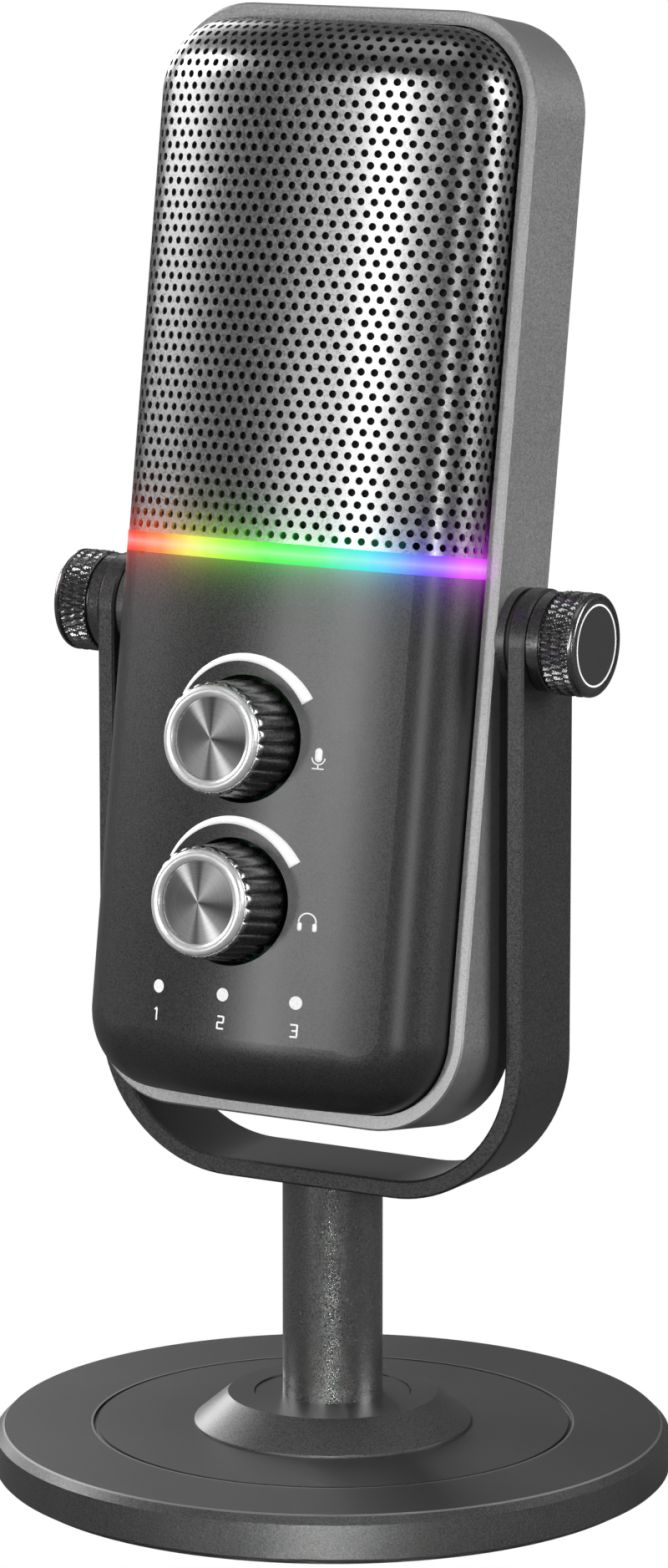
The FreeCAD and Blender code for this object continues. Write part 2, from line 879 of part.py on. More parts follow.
def build_pot(name, height):
    pot = node(f"{name}_pot", tilting=True)
    board = -S.control_board_front
    front = board - 6.0
    bush = front - 3.0
    extrude(
        pot,
        "XZ_Plane",
        front,
        board,
        lambda sk: box_outline(sk, -4.8, 4.8, height - 5.2, height + 5.2),
    )
    extrude(pot, "XZ_Plane", bush, front, on_spots([(0, height)], 4.4))
    bore = S.knob_shaft_radius + 0.05
    extrude(pot, "XZ_Plane", bush - 1.0, board - 1.5, on_spots([(0, height)], bore), cut=True)

    shaft = node(f"{name}_shaft", tilting=True)
    tip = -S.knob_shoulder + 2.4
    extrude(shaft, "XZ_Plane", tip, board - 1.55, on_spots([(0, height)], S.knob_shaft_radius))


def build_knob(name, height):
    """Fluted barrel, bright chamfered rim and turned face, all about the shaft axis."""
    barrel = node(f"{name}_knob", tilting=True)
    seat = -S.knob_shoulder + 1.4
    revolve(
        barrel,
        "YZ_Plane",
        [
            (-S.knob_back, S.knob_shaft_radius),
            (-S.knob_back, S.knob_radius - 0.3),
            (-S.knob_back - 0.3, S.knob_radius),
            (-S.knob_shoulder + 0.25, S.knob_front_radius),
            (-S.knob_shoulder, S.knob_front_radius - 0.25),
            (-S.knob_shoulder, S.knob_rim_radius),
            (seat, S.knob_rim_radius),
            (seat, 0),
            (-S.knob_shoulder + 2.4, 0),
            (-S.knob_shoulder + 2.4, S.knob_shaft_radius),
        ],
        axis="H_Axis",
        up=height,
    )
    flute = extrude(
        barrel,
        "XZ_Plane",
        -S.knob_shoulder - 1.0,
        -S.knob_back + 1.0,
        lambda sk: circle(sk, 0, S.knob_radius + 0.1, S.knob_flute_radius),
        cut=True,
        up=height,
    )
    # the flutes lean in with the tapered barrel, and end just outside the rim
    floor = S.knob_radius + 0.1 - S.knob_flute_radius
    lean = (floor - S.knob_rim_radius - 0.15).value / (S.knob_shoulder - S.knob_back).value
    flute.UseCustomVector = True
    flute.Direction = FreeCAD.Vector(0, 1, lean)
    flute.AlongSketchNormal = True
    around = barrel.newObject("PartDesign::PolarPattern", "Flutes")
    around.Originals = [flute]
    around.Axis = (flute.Profile[0], ["N_Axis"])
    around.Angle = 360
    around.Occurrences = FLUTES
    barrel.Tip = around

    rim = node(f"{name}_rim", tilting=True)
    revolve(
        rim,
        "YZ_Plane",
        [
            (seat, S.knob_face_radius),
            (seat, S.knob_rim_radius),
            (-S.knob_front + 0.35, S.knob_rim_radius),
            (-S.knob_front, S.knob_rim_radius - 0.35),
            (-S.knob_front, S.knob_face_radius + 0.5),
            (-S.knob_front + 0.5, S.knob_face_radius),
        ],
        axis="H_Axis",
        up=height,
    )
    face = node(f"{name}_face", tilting=True)
    revolve(
        face,
        "YZ_Plane",
        [
            (seat, 0),
            (seat, S.knob_face_radius),
            (-S.knob_front + 0.75, S.knob_face_radius),
            (-S.knob_front + 0.95, 0),
        ],
        axis="H_Axis",
        up=height,
    )


def build_sockets():
    board = S.main_board_back
    skin = S.dome_rise - 0.9
    usb = node("usb_socket", tilting=True)
    extrude(usb, "XZ_Plane", board, skin, lambda sk: socket_outline(sk, 4.45, 1.6))
    mouth = (skin - 6.6, skin + 1.0)
    extrude(usb, "XZ_Plane", *mouth, lambda sk: socket_outline(sk, 4.15, 1.3), cut=True)
    extrude(
        usb,
        "XZ_Plane",
        skin - 7.0,
        skin - 0.8,
        lambda sk: box_outline(
            sk,
            -S.socket_offset - 3.35,
            -S.socket_offset + 3.35,
            S.socket_height - 0.35,
            S.socket_height + 0.35,
        ),
    )

    jack = node("headphone_jack", tilting=True)
    spot = [(S.socket_offset, S.socket_height)]
    extrude(
        jack,
        "XZ_Plane",
        board,
        board + 8.6,
        lambda sk: box_outline(
            sk,
            S.socket_offset - 4.0,
            S.socket_offset + 4.0,
            S.socket_height - 4.0,
            S.socket_height + 4.0,
        ),
    )
    extrude(jack, "XZ_Plane", board + 8.6, skin, on_spots(spot, 3.2))
    extrude(jack, "XZ_Plane", board + 0.8, skin + 1.0, on_spots(spot, S.jack_radius), cut=True)

    switch = node("mode_switch", tilting=True)
    where = [(0, S.button_height)]
    extrude(
        switch,
        "XZ_Plane",
        board,
        board + 3.8,
        lambda sk: box_outline(sk, -3.0, 3.0, S.button_height - 3.0, S.button_height + 3.0),
    )
    extrude(switch, "XZ_Plane", board + 3.8, board + 6.6, on_spots(where, 1.75))

    button = node("mode_button", tilting=True)
    flange_top = S.dome_rise - S.cover_wall - 0.22
    stem = board + 6.6 + S.button_travel + 0.05
    extrude(button, "XZ_Plane", stem, S.dome_rise + 0.8, on_spots(where, S.button_radius))
    extrude(button, "XZ_Plane", flange_top - 0.8, flange_top, on_spots(where, S.button_radius + 1.2))

    def crown(shape):
        return rim_edges(shape, "Y", S.dome_rise.value + 0.8)

    dress(button, "Fillet", 0.4, crown)


def build_capsule():
    plate = -S.ledge_half - S.plate_thickness
    spot = [(0, S.capsule_height)]
    stand = node("capsule_bracket", tilting=True)
    low, high = S.capsule_height - 9.0, S.capsule_height + 9.0
    extrude(
        stand,
        "XZ_Plane",
        plate - 1.4,
        plate,
        lambda sk: rounded_outline(sk, -14.0, 14.0, low, high, 3.0),
    )
    extrude(stand, "XZ_Plane", plate - 5.0, plate - 1.4, on_spots(spot, S.capsule_radius - 1.5))

    cup_back = plate - 5.0
    cup = node("capsule_cup", tilting=True)
    extrude(cup, "XZ_Plane", cup_back - 7.4, cup_back, on_spots(spot, S.capsule_radius + 1.6))
    extrude(cup, "XZ_Plane", cup_back - 8.0, cup_back - 1.4, on_spots(spot, S.capsule_radius), cut=True)

    capsule = node("capsule", tilting=True)
    extrude(capsule, "XZ_Plane", cup_back - 7.8, cup_back - 1.4, on_spots(spot, S.capsule_radius))
    grid = (cup_back - 8.6, cup_back - 7.2)
    extrude(capsule, "XZ_Plane", *grid, on_spots(spot, S.capsule_radius - 2.2), cut=True)


# ---------------------------------------------------------------- tilt hinge and thumb screws
def build_hinge():
    wide = frame_inside()[0]
    centre = [(0, 0)]
    bore = S.screw_radius + S.screw_clearance
    inserts = node("thread_inserts", tilting=True)
    for low, high in both_sides(wide - S.ledge_width, S.frame_half_width):
        extrude(inserts, "YZ_Plane", low, high, on_spots(centre, S.insert_radius))
    reach = S.frame_half_width + 10.0
    extrude(inserts, "YZ_Plane", -reach, reach, on_spots(centre, bore), cut=True)

    outer = S.yoke_half_width - S.yoke_thickness - 0.05
    joint = outer - S.washer_height
    spacers = node("hinge_spacers", tilting=True)
    for low, high in both_sides(S.frame_half_width, joint):
        extrude(spacers, "YZ_Plane", low, high, on_spots(centre, S.spacer_radius))
    extrude(spacers, "YZ_Plane", -reach, reach, on_spots(centre, bore), cut=True)

    washers = node("friction_washers", tilting=True)
    for low, high in both_sides(joint, outer):
        extrude(washers, "YZ_Plane", low, high, on_spots(centre, S.washer_radius))
    extrude(washers, "YZ_Plane", -reach, reach, on_spots(centre, bore), cut=True)

    for side, name in ((-1, "left"), (1, "right")):
        build_thumb(name, side)


def build_thumb(name, side):
    foot = S.yoke_half_width + 0.05
    neck = foot + S.thumb_collar_length
    recess = S.thumb_end - S.thumb_cap_height
    screw_end = recess - 1.2
    inner_end = frame_inside()[0] - S.ledge_width + 0.5
    knob = node(f"thumb_knob_{name}", tilting=True)
    revolve(
        knob,
        "XZ_Plane",
        [
            (foot * side, S.screw_radius),
            (foot * side, S.thumb_collar_radius - 0.2),
            ((foot + 0.2) * side, S.thumb_collar_radius),
            ((neck - 0.35) * side, S.thumb_collar_radius),
            ((neck - 0.35) * side, S.thumb_collar_radius - 0.35),
            (neck * side, S.thumb_collar_radius - 0.35),
            (neck * side, S.thumb_radius - 0.1),
            ((neck + 0.1) * side, S.thumb_radius),
            ((S.thumb_end - S.thumb_chamfer) * side, S.thumb_radius),
            (S.thumb_end * side, S.thumb_radius - S.thumb_chamfer),
            (S.thumb_end * side, S.thumb_cap_radius),
            (recess * side, S.thumb_cap_radius),
            (recess * side, 0),
            (screw_end * side, 0),
            (screw_end * side, S.screw_radius),
        ],
        axis="H_Axis",
    )
    cap = node(f"thumb_cap_{name}", tilting=True)
    cap_span = in_order(recess * side, (S.thumb_end - 0.1) * side)
    extrude(cap, "YZ_Plane", *cap_span, on_spots([(0, 0)], S.thumb_cap_radius))
    screw = node(f"thumb_screw_{name}", tilting=True)
    screw_span = in_order(inner_end * side, screw_end * side)
    extrude(screw, "YZ_Plane", *screw_span, on_spots([(0, 0)], S.screw_radius))


# ---------------------------------------------------------------- checks and export
def check_document():
    """Stop if anything failed to compute, came out broken, or cut nothing."""
    for obj in doc.Objects:
        if "Invalid" in obj.State or "Error" in obj.State:
            raise RuntimeError(f"{obj.Name} ({obj.Label}) is in state {obj.State}")
    for body in NODES:
        if body.Shape.isNull() or not body.Shape.isValid() or not body.Shape.Solids:
            raise RuntimeError(f"{body.Label} has no valid shape")
        for feature in body.Group:
            if feature.TypeId in ("PartDesign::Pocket", "PartDesign::Groove"):
                before = feature.BaseFeature.Shape.Volume
                if before - feature.Shape.Volume < 1e-4:
                    raise RuntimeError(f"{body.Label}: {feature.Name} cut nothing")


build_stand()
build_yoke()
build_frame()
build_shells()
build_carriers()
build_controls()
build_sockets()
build_capsule()
build_hinge()
doc.recompute()
check_document()

os.makedirs("parts", exist_ok=True)
for body in NODES:
    body.Shape.exportStep(f"parts/{body.Label}.step")
    print(f"{body.Label}: {len(body.Shape.Solids)} solid(s), {body.Shape.Volume:.0f} mm3")
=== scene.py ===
import math

import bmesh
import bpy
import numpy as np
from mathutils import Matrix, Vector


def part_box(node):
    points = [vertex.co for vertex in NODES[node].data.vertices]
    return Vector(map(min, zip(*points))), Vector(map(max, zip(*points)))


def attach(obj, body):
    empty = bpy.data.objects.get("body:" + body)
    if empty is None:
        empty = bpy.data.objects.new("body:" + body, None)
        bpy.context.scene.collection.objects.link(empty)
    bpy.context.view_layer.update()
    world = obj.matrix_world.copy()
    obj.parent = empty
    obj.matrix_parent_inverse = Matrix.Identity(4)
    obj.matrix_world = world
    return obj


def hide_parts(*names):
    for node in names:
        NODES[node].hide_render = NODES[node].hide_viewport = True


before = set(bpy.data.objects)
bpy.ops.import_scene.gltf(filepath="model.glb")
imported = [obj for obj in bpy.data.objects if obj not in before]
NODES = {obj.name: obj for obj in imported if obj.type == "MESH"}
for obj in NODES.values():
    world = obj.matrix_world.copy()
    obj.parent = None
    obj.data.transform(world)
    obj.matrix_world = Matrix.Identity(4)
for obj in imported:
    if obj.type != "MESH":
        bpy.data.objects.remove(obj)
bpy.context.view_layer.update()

MM = 0.001


# ------------------------------------------------------------------ places taken from the frame
def centre(node):
    low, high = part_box(node)
    return (low + high) / 2


HINGE = Vector((0, 0, centre("thumb_cap_right").z))
GAIN, VOLUME = centre("gain_face"), centre("volume_face")
UP = (GAIN - VOLUME).normalized()           # the body's own upward direction
TILT = math.atan2(UP.y, UP.z)               # how far the body leans back
BODY = Matrix.Translation(HINGE) @ Matrix.Rotation(-TILT, 4, "X")
INTO_BODY = BODY.inverted()

# the domed shells, in millimetres, in the body's frame: origin on the tilt axis, front to -Y
WIDE, TOP, BOTTOM, CORNER = 31.35, 94.75, -76.65, 12.75
RISE, ARC, EDGE = 25.5, 59.2, 10.6
STRIP_LOW, STRIP_HIGH = 8.9, 12.1
FOOT = 1.5
FRAME_HALF_DEPTH = 8.25
GROOVE_LIP = 39.3                           # radius of the base groove's outer lip, where a painted highlight line runs
EDGE_LIP = 1.42                             # width of the base's bevelled edge, which carries a painted highlight
SHOULDER = 34.66                            # where the control knob's cut shoulder starts
FACE_RADIUS = 6.45                          # the control knob's spun face
GLOW_REACH = 0.0022                         # metres in which the strip's spill fades to a third
WHITE = (1, 1, 1, 1)


# ------------------------------------------------------------------ the dome as a developed sheet
def dome(points, side=-1, lift=0.0):
    """Maps developed (s, z) points, in mm, to (positions, normals) on the dome's outer skin.

    s runs along the front arc and on round the edge, z is the height; beyond the flat
    part both carry on round the edge rounding and down the side wall.
    """
    q = np.asarray(points, float)
    core = EDGE
    a_max = math.asin((WIDE - core) / (ARC - core))
    s_max, low, high, rc = ARC * a_max, BOTTOM + core, TOP - core, CORNER - core
    inner = np.stack(
        [np.clip(q[:, 0], rc - s_max, s_max - rc), np.clip(q[:, 1], low + rc, high - rc)], 1
    )
    away = q - inner
    dist = np.linalg.norm(away, axis=1)
    out = away / np.maximum(dist, 1e-9)[:, None]
    beyond = np.maximum(dist - rc, 0.0)
    base = np.where((beyond > 0)[:, None], inner + out * rc, q)
    angle = base[:, 0] / ARC
    n0 = np.stack([np.sin(angle), -np.cos(angle), np.zeros(len(q))], 1)
    c = np.stack(
        [(ARC - core) * np.sin(angle), ARC - RISE - (ARC - core) * np.cos(angle), base[:, 1]], 1
    )
    n1 = np.stack([out[:, 0], np.zeros(len(q)), out[:, 1]], 1)
    swing = np.arccos(np.clip((n0 * n1).sum(1), -1, 1))
    turn = np.clip(beyond / (core * np.maximum(swing, 1e-6)), 0, 1)
    sine = np.maximum(np.sin(swing), 1e-6)
    n = (
        np.sin((1 - turn) * swing)[:, None] * n0 + np.sin(turn * swing)[:, None] * n1
    ) / sine[:, None]
    flat = beyond <= 0
    n[flat] = n0[flat]
    pos = c + n * (core + lift)
    pos[:, 1] += np.where(flat, 0.0, np.maximum(beyond - core * swing, 0.0))
    if side > 0:
        pos[:, 1] *= -1
        n[:, 1] *= -1
    return pos, n


# ------------------------------------------------------------------ mesh helpers
def new_object(name, mesh, material=None, matrix=None, smooth=35.0):
    obj = bpy.data.objects.new(name, mesh)
    bpy.context.scene.collection.objects.link(obj)
    if matrix is not None:
        obj.matrix_world = matrix
    if material is not None:
        mesh.materials.append(material)
    for p in mesh.polygons:
        p.use_smooth = True
    mesh.set_sharp_from_angle(angle=math.radians(smooth))
    return obj


def mesh_from(name, verts, faces):
    mesh = bpy.data.meshes.new(name)
    mesh.from_pydata([tuple(v) for v in verts], [], faces)
    mesh.validate()
    mesh.update()
    return mesh


def tidy_normals(mesh):
    bm = bmesh.new()
    bm.from_mesh(mesh)
    bmesh.ops.recalc_face_normals(bm, faces=bm.faces)
    bm.to_mesh(mesh)
    bm.free()


def lathe(name, profile, turns, shape=None, closed=True):
    """Turns a profile of (distance along the axis, radius) about local Z, in mm.

    shape(angle, i) may change the radius of profile point i at each angle.
    """
    verts, faces = [], []
    for i, (along, radius) in enumerate(profile):
        for j in range(turns):
            a = 2 * math.pi * j / turns
            r = radius if shape is None else shape(a, i, radius)
            verts.append((r * math.cos(a) * MM, r * math.sin(a) * MM, along * MM))
    for i in range(len(profile) - 1):
        for j in range(turns):
            k = (j + 1) % turns
            faces.append((i * turns + j, i * turns + k, (i + 1) * turns + k, (i + 1) * turns + j))
    if closed:
        faces.append(tuple(range(turns)))
        faces.append(tuple((len(profile) - 1) * turns + j for j in range(turns)))
    mesh = mesh_from(name, verts, faces)
    tidy_normals(mesh)
    return mesh


def axis_frame(origin, direction, up=UP):
    """A matrix at origin whose local Z is the given direction."""
    z = Vector(direction).normalized()
    x = Vector(up).cross(z).normalized()
    y = z.cross(x)
    m = Matrix((x, y, z)).transposed().to_4x4()
    return Matrix.Translation(origin) @ m


# ------------------------------------------------------------------ materials
class Nodes:
    """Builds one material's node tree with short calls."""

    def __init__(self, name):
        self.mat = bpy.data.materials.new(name)
        self.mat.use_nodes = True
        self.tree = self.mat.node_tree
        self.shader = self.tree.nodes["Principled BSDF"]
        self.output = self.tree.nodes["Material Output"]
        self.coords = self.add("ShaderNodeTexCoord").outputs["Object"]

    def add(self, kind, **values):
        node = self.tree.nodes.new(kind)
        for key, value in values.items():
            setattr(node, key, value)
        return node

    def link(self, a, b):
        self.tree.links.new(a, b)

    def put(self, socket, value):
        if isinstance(value, bpy.types.NodeSocket):
            self.link(value, socket)
        else:
            socket.default_value = value

    def math(self, op, a, b=0.0, c=0.0, clamp=False):
        node = self.add("ShaderNodeMath", operation=op, use_clamp=clamp)
        for i, value in enumerate((a, b, c)):
            self.put(node.inputs[i], value)
        return node.outputs[0]

    def dot(self, vector, direction):
        node = self.add("ShaderNodeVectorMath", operation="DOT_PRODUCT")
        self.link(vector, node.inputs[0])
        node.inputs[1].default_value = direction
        return node.outputs["Value"]

    def noise(self, scale, detail=2.0, rough=0.5, stretch=None):
        vector = self.coords
        if stretch is not None:
            mapping = self.add("ShaderNodeMapping")
            mapping.inputs["Scale"].default_value = stretch
            self.link(vector, mapping.inputs["Vector"])
            vector = mapping.outputs["Vector"]
        node = self.add("ShaderNodeTexNoise")
        node.inputs["Scale"].default_value = scale
        node.inputs["Detail"].default_value = detail
        node.inputs["Roughness"].default_value = rough
        self.link(vector, node.inputs["Vector"])
        return node.outputs["Fac"]

    def ramp(self, factor, stops, mode="LINEAR"):
        """A colour ramp over (place, colour) stops."""
        node = self.add("ShaderNodeValToRGB")
        node.color_ramp.interpolation = mode
        elements = node.color_ramp.elements
        while len(elements) < len(stops):
            elements.new(0.5)
        for element, (place, colour) in zip(elements, stops):
            element.position = place
            element.color = (*colour, 1.0)
        self.link(factor, node.inputs["Fac"])
        return node.outputs["Color"]

    def grey(self, factor, dark, light):
        """A grey that runs from dark to light over the middle of a noise."""
        return self.ramp(factor, [(0.3, (dark,) * 3), (0.7, (light,) * 3)])

    def remap(self, factor, low, high):
        """Spreads the middle of a noise over low to high."""
        node = self.add("ShaderNodeMapRange")
        self.link(factor, node.inputs["Value"])
        node.inputs["From Min"].default_value = 0.3
        node.inputs["From Max"].default_value = 0.7
        node.inputs["To Min"].default_value = low
        node.inputs["To Max"].default_value = high
        return node.outputs["Result"]

    def bump(self, height, distance):
        node = self.add("ShaderNodeBump")
        node.inputs["Strength"].default_value = 1.0
        node.inputs["Distance"].default_value = distance
        self.link(height, node.inputs["Height"])
        return node.outputs["Normal"]

    def set(self, **values):
        names = {
            "color": "Base Color",
            "metallic": "Metallic",
            "roughness": "Roughness",
            "normal": "Normal",
            "anisotropic": "Anisotropic",
            "tangent": "Tangent",
            "specular": "Specular IOR Level",
            "emission": "Emission Color",
            "emission_strength": "Emission Strength",
        }
        for key, value in values.items():
            self.put(self.shader.inputs[names[key]], value)


def grained_metal(name, dark, light, metallic, rough, grain=0.00024, depth=0.000012, cloud=0.05):
    """Fine-grained satin metal paint: flake grain in colour, gloss and relief, faint clouding."""
    n = Nodes(name)
    flakes = n.noise(1 / grain, 3.0, 0.65)
    clouds = n.noise(1 / 0.018, 3.0, 0.55)
    base = n.grey(flakes, dark, light)
    shade = n.remap(clouds, 1 - cloud, 1 + cloud)
    mix = n.add("ShaderNodeVectorMath", operation="SCALE")
    n.link(base, mix.inputs[0])
    n.link(shade, mix.inputs["Scale"])
    n.set(
        color=mix.outputs["Vector"],
        metallic=metallic,
        roughness=n.remap(flakes, rough - 0.07, rough + 0.07),
        normal=n.bump(flakes, depth),
    )
    return n


def plain_finish(name, colour, rough, metallic=0.0, grain=0.0004, depth=0.00001, spread=0.12):
    """A moulded, plated or turned finish for small pieces: slight mottling and relief."""
    n = Nodes(name)
    fine = n.noise(1 / grain, 3.0, 0.6)
    low = tuple(c * (1 - spread) for c in colour)
    high = tuple(min(1.0, c * (1 + spread)) for c in colour)
    n.set(
        color=n.ramp(fine, [(0.3, low), (0.7, high)]),
        metallic=metallic,
        roughness=n.remap(fine, rough - 0.05, rough + 0.05),
        normal=n.bump(fine, depth),
    )
    return n


RAINBOW = [
    (0.08, (1.0, 0.035, 0.015)),
    (0.19, (1.0, 0.22, 0.03)),
    (0.29, (0.85, 0.80, 0.08)),
    (0.40, (0.36, 0.90, 0.04)),
    (0.53, (0.07, 0.85, 0.05)),
    (0.66, (0.05, 0.85, 0.16)),
    (0.79, (0.05, 0.80, 0.80)),
    (0.86, (0.08, 0.40, 1.0)),
    (0.92, (0.16, 0.13, 1.0)),
    (0.96, (0.32, 0.07, 1.0)),
    (0.99, (0.75, 0.06, 0.95)),
]


def body_height(n, local):
    """Height in the body's frame, in metres, from a piece in that frame or one in the row frame."""
    if local:
        return n.dot(n.coords, (0, 0, 1))
    raised = n.dot(n.coords, (0, math.sin(TILT), math.cos(TILT)))
    return n.math("SUBTRACT", raised, HINGE.z * math.cos(TILT))


def rainbow(n):
    across = n.math("MULTIPLY_ADD", n.dot(n.coords, (1, 0, 0)), 1 / (2 * WIDE * MM), 0.5)
    return n.ramp(across, RAINBOW)


def add_glow(n, local, strength):
    """Light spilling from the strip onto the sheet beside it, fading within a few millimetres."""
    middle = (STRIP_LOW + STRIP_HIGH) / 2 * MM
    half = (STRIP_HIGH - STRIP_LOW) / 2 * MM
    away = n.math("ABSOLUTE", n.math("SUBTRACT", body_height(n, local), middle))
    away = n.math("MAXIMUM", n.math("SUBTRACT", away, half), 0.0)
    fade = n.math("EXPONENT", n.math("MULTIPLY", away, -1 / GLOW_REACH))
    n.set(emission=rainbow(n), emission_strength=n.math("MULTIPLY", fade, strength))


stand_metal = grained_metal("stand_metal", 0.055, 0.165, 0.82, 0.34, depth=0.00002).mat
# painted highlight: the post uses a lighter, glossier copy of the stand paint so its highlight
# stripe reads brighter
post_metal_painted_lighter = grained_metal("post_metal_painted_lighter", 0.090, 0.200, 0.86, 0.27, depth=0.000008).mat


def base_with_painted_light():
    """The stand's paint on the base: a painted highlight brightens the lips of the turned edge and
    groove, and painted shade darkens the top face.
    """
    n = grained_metal("base_metal", 0.040, 0.135, 0.80, 0.35, depth=0.00002)
    separate = n.add("ShaderNodeSeparateXYZ")
    n.link(n.coords, separate.inputs[0])
    x, y, z = separate.outputs
    radius = n.math("SQRT", n.math("ADD", n.math("MULTIPLY", x, x), n.math("MULTIPLY", y, y)))
    rim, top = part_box("base_disc")[1][0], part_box("base_disc")[1][2]
    high = n.math("GREATER_THAN", z, top - 0.25 * MM)
    edge = n.math("GREATER_THAN", radius, rim - EDGE_LIP * MM)
    groove = n.math("COMPARE", radius, GROOVE_LIP * MM, 0.16 * MM)
    # painted highlight: the top lips of the bevelled edge and of the groove are mixed towards light
    # grey
    painted_highlight_lip = n.math("MULTIPLY", high, n.math("MAXIMUM", edge, groove))
    paint = n.shader.inputs["Base Color"].links[0].from_socket
    mix = n.add("ShaderNodeMix", data_type="RGBA")
    n.link(n.math("MULTIPLY", painted_highlight_lip, 0.6), mix.inputs["Factor"])
    n.link(paint, mix.inputs["A"])
    mix.inputs["B"].default_value = (0.42, 0.42, 0.43, 1)
    # painted shade: the upward face is darkened by 0.3 of its colour
    shade = n.add("ShaderNodeVectorMath", operation="SCALE")
    n.link(mix.outputs["Result"], shade.inputs[0])
    n.link(n.math("MULTIPLY_ADD", high, -0.3, 1.0), shade.inputs["Scale"])
    gloss = n.shader.inputs["Roughness"].links[0].from_socket
    n.set(color=shade.outputs["Vector"], roughness=n.math("MULTIPLY_ADD", high, 0.17, gloss))
    return n.mat


base_metal = base_with_painted_light()
yoke_metal = grained_metal(
    "yoke_metal", 0.048, 0.112, 0.82, 0.36, grain=0.0003, depth=0.00002
).mat
frame_metal = grained_metal("frame_metal", 0.27, 0.42, 0.72, 0.37, grain=0.0003).mat
cover_nodes = grained_metal("cover_metal", 0.036, 0.086, 0.78, 0.36, cloud=0.03)
add_glow(cover_nodes, False, 0.35)
cover_metal = cover_nodes.mat
rear_cover_metal = grained_metal("rear_cover_metal", 0.036, 0.086, 0.78, 0.36, cloud=0.03).mat
rear_grille_metal = grained_metal("rear_grille_metal", 0.18, 0.25, 0.95, 0.31, grain=0.0005).mat
grille_nodes = grained_metal("grille_metal", 0.18, 0.25, 0.95, 0.31, grain=0.0005, cloud=0.03)
add_glow(grille_nodes, True, 0.5)
grille_metal = grille_nodes.mat
foam_dark = plain_finish("foam_dark", (0.012, 0.012, 0.012), 0.95, grain=0.0006, depth=0.0002).mat
rubber = plain_finish("rubber", (0.012, 0.012, 0.012), 0.75, grain=0.0005, depth=0.00003).mat
steel = plain_finish("steel", (0.45, 0.45, 0.46), 0.32, metallic=1.0).mat
brass = plain_finish("brass", (0.70, 0.50, 0.22), 0.30, metallic=1.0).mat
board = plain_finish("board", (0.012, 0.09, 0.045), 0.45, spread=0.25).mat
moulded = plain_finish("moulded", (0.03, 0.03, 0.031), 0.55).mat
capsule_metal = plain_finish("capsule_metal", (0.6, 0.6, 0.6), 0.28, metallic=1.0).mat
thumb_metal = grained_metal(
    "thumb_metal", 0.14, 0.19, 0.97, 0.23, grain=0.0005, depth=0.000004
).mat
cap_black = plain_finish("cap_black", (0.028, 0.028, 0.029), 0.38, grain=0.0003).mat
print_glow_nodes = plain_finish("print_white_painted_glow", (0.88, 0.88, 0.88), 0.45, spread=0.03)
# painted glow: the white print gets a faint emission so it reads brighter than lit paint
print_glow_nodes.set(emission=WHITE, emission_strength=0.22)
print_white_painted_glow = print_glow_nodes.mat


def bright_rim():
    """Diamond-cut aluminium: fine turning lines round the ring."""
    n = Nodes("bright_rim")
    lines = n.noise(900.0, 2.0, 0.5, stretch=(1, 14, 1))
    n.set(
        color=n.grey(lines, 0.62, 0.76),
        metallic=0.55,
        roughness=n.remap(lines, 0.28, 0.36),
        normal=n.bump(lines, 0.000004),
    )
    return n.mat


def spun_face_painted_sheen():
    """Radially spun metal with fine rings; bright and dark cones about the centre are painted into
    the colour as a painted reflection.
    """
    n = Nodes("spun_face_painted_sheen")
    separate = n.add("ShaderNodeSeparateXYZ")
    n.link(n.coords, separate.inputs[0])
    x, y = separate.outputs[0], separate.outputs[1]
    radius = n.math("SQRT", n.math("ADD", n.math("MULTIPLY", x, x), n.math("MULTIPLY", y, y)))
    rings = n.add("ShaderNodeTexNoise")
    rings.noise_dimensions = "1D"
    n.link(n.math("MULTIPLY", radius, 9000.0), rings.inputs["W"])
    rings.inputs["Scale"].default_value = 1.0
    rings.inputs["Detail"].default_value = 2.0
    around = n.add("ShaderNodeTexGradient", gradient_type="RADIAL")
    n.link(n.coords, around.inputs["Vector"])
    # painted reflection: bright and dark sectors by angle about the centre
    painted_sheen_cones = n.ramp(
        around.outputs["Fac"],
        [
            (place, (level,) * 3)
            for place, level in (
                (0.00, 0.25), (0.13, 0.24), (0.21, 0.16), (0.25, 0.05), (0.29, 0.13),
                (0.345, 0.45), (0.39, 0.17), (0.485, 0.06), (0.55, 0.16), (0.66, 0.19),
                (0.725, 0.13), (0.755, 0.05), (0.80, 0.15), (0.845, 0.95), (0.885, 0.24),
                (1.00, 0.25),
            )
        ],
        mode="EASE",
    )
    # the painted sheen, streaked by the real spun rings
    painted_sheen_and_grooves = n.add("ShaderNodeVectorMath", operation="SCALE")
    n.link(painted_sheen_cones, painted_sheen_and_grooves.inputs[0])
    n.link(n.remap(rings.outputs["Fac"], 0.8, 1.2), painted_sheen_and_grooves.inputs["Scale"])
    tangent = n.add("ShaderNodeTangent", direction_type="RADIAL", axis="Z")
    n.set(
        color=painted_sheen_and_grooves.outputs["Vector"],
        metallic=1.0,
        roughness=n.remap(rings.outputs["Fac"], 0.28, 0.36),
        anisotropic=0.6,
        tangent=tangent.outputs["Tangent"],
        normal=n.bump(rings.outputs["Fac"], 0.000003),
    )
    return n.mat


def knob_barrel():
    """Glossy gunmetal, with the cut shoulder at the front end left bright."""
    n = Nodes("knob_metal")
    fine = n.noise(1 / 0.0006, 3.0, 0.6)
    along = n.dot(n.coords, (0, 0, 1))
    cut = n.math("GREATER_THAN", along, SHOULDER * MM)
    mix = n.add("ShaderNodeMix", data_type="RGBA")
    n.link(cut, mix.inputs["Factor"])
    n.link(n.grey(fine, 0.17, 0.23), mix.inputs["A"])
    n.link(n.grey(fine, 0.30, 0.36), mix.inputs["B"])
    n.set(
        color=mix.outputs["Result"],
        metallic=1.0,
        roughness=n.remap(fine, 0.24, 0.31),
        normal=n.bump(fine, 0.000004),
    )
    return n.mat


